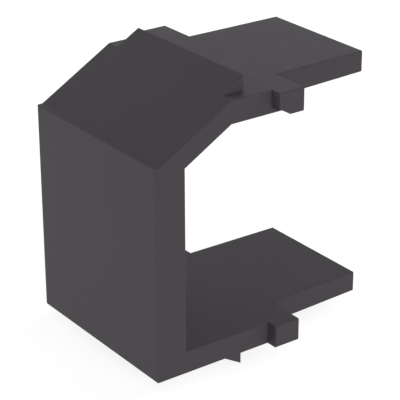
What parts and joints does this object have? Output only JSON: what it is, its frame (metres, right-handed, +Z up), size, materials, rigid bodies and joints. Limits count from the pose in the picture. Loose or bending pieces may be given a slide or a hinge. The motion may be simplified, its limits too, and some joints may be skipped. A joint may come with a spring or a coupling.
{
  "type": "keystone blank insert",
  "caption": "C-shaped moulded plastic clip whose flat front plate closes an unused keystone port and snaps in by a ridge, a wedge and side ears.",
  "frame": {"origin": "centre of the front face", "axes": "+Y from the front face into the panel, +Z up from the lower arm to the sprung upper arm, +X to the right seen from the front"},
  "size_m": [0.0162, 0.0194, 0.0209],
  "materials": {
    "moulding": "charcoal moulded ABS, fine matte texture"
  },
  "bodies": {
    "root": {"blank_insert": "moulding"}
  },
  "joints": []
}
